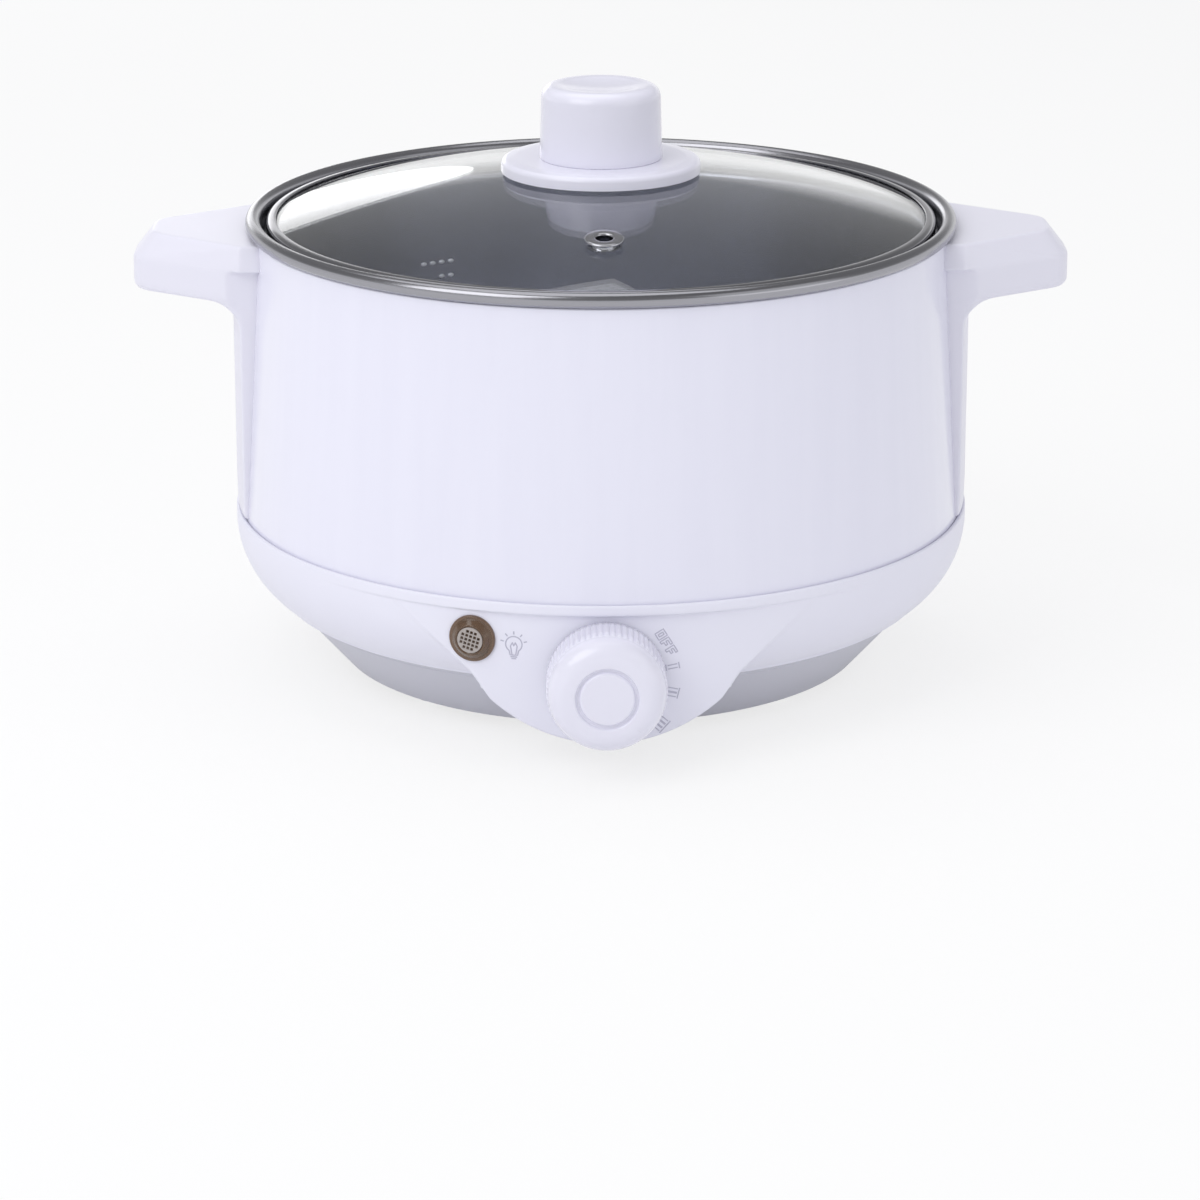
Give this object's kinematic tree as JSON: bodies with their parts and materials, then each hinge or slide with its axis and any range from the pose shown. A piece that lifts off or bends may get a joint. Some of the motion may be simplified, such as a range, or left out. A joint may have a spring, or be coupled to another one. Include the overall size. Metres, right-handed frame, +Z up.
{
  "type": "electric cooker pot",
  "caption": "Round white electric cooker pot with a lift-off domed glass lid, steel inner pot, side handles and a rotary power switch on its base.",
  "frame": {"origin": "middle of the bounding box's floor, on the table; the pot's axis is 6.7 mm behind it", "axes": "+Z up out of the pot, -Y out of the control panel, +X towards the right handle as seen from the front"},
  "size_m": [0.263, 0.2264, 0.1653],
  "materials": {
    "pot_steel": "drawn stainless, bright",
    "shell_white": "glossy white coat",
    "base_white": "moulded, glossy",
    "cover_grey": "moulded, satin",
    "handle_white": "moulded, soft gloss",
    "knob_white": "moulded, glossy",
    "rim_steel": "polished stainless",
    "lid_glass": "tempered, clear",
    "lens_brown": "clear brown",
    "foot_rubber": "soft, matt",
    "heater_aluminium": "cast",
    "sheath_steel": "heat-darkened sheath",
    "screw_steel": "plated",
    "plated_steel": "zinc plated sheet",
    "cutout_tan": "moulded phenolic",
    "switch_black": "moulded",
    "rotor_tan": "moulded",
    "brass": "plain",
    "bulb_glass": "clear neon bulb",
    "gland_grey": "moulded",
    "block_ivory": "moulded",
    "lead_brown": "heat-proof sleeve",
    "lead_blue": "heat-proof sleeve",
    "lead_green": "heat-proof sleeve",
    "lead_white": "heat-proof sleeve",
    "silicone": "clear silicone"
  },
  "bodies": {
    "cooker": {"inner_pot": "pot_steel", "outer_shell": "shell_white", "base_housing": "base_white", "bottom_cover": "cover_grey", "right_handle": "handle_white", "left_handle": "handle_white", "handle_screws": "screw_steel", "cover_screws": "screw_steel", "rubber_feet": "foot_rubber", "heater_plate": "heater_aluminium", "heating_element": "sheath_steel", "pot_studs": "screw_steel", "stud_spacers": "screw_steel", "stud_nuts": "screw_steel", "heat_shield": "plated_steel", "tie_strap": "plated_steel", "tie_screws": "screw_steel", "thermal_cutout": "cutout_tan", "cutout_screws": "screw_steel", "switch_housing": "switch_black", "switch_cover": "switch_black", "switch_nut": "screw_steel", "switch_tabs": "brass", "lamp_lens": "lens_brown", "lamp_holder": "switch_black", "lamp_bulb": "bulb_glass", "cord_gland": "gland_grey", "gland_nut": "gland_grey", "terminal_block": "block_ivory", "block_screws": "brass", "live_lead": "lead_brown", "switch_lead": "lead_brown", "element_lead": "lead_brown", "neutral_lead": "lead_blue", "earth_lead": "lead_green", "lamp_leads": "lead_white"},
    "lid": {"lid_glass": "lid_glass", "lid_rim": "rim_steel", "lid_collar": "knob_white", "lid_knob": "knob_white", "lid_gasket": "silicone", "lid_washer": "screw_steel", "lid_screw": "screw_steel", "vent_eyelet": "rim_steel"},
    "control": {"control_knob": "knob_white", "switch_rotor": "rotor_tan"}
  },
  "joints": [
    {"name": "lid_lift", "type": "slide", "parent": "cooker", "child": "lid", "axis": [0, 0, 1], "range_m": [0, 0.12]},
    {"name": "knob_turn", "type": "hinge", "parent": "cooker", "child": "control", "pos_m": [0, -0.0964, 0.0255], "axis": [0, -1, 0], "range_deg": [0, 75]}
  ]
}
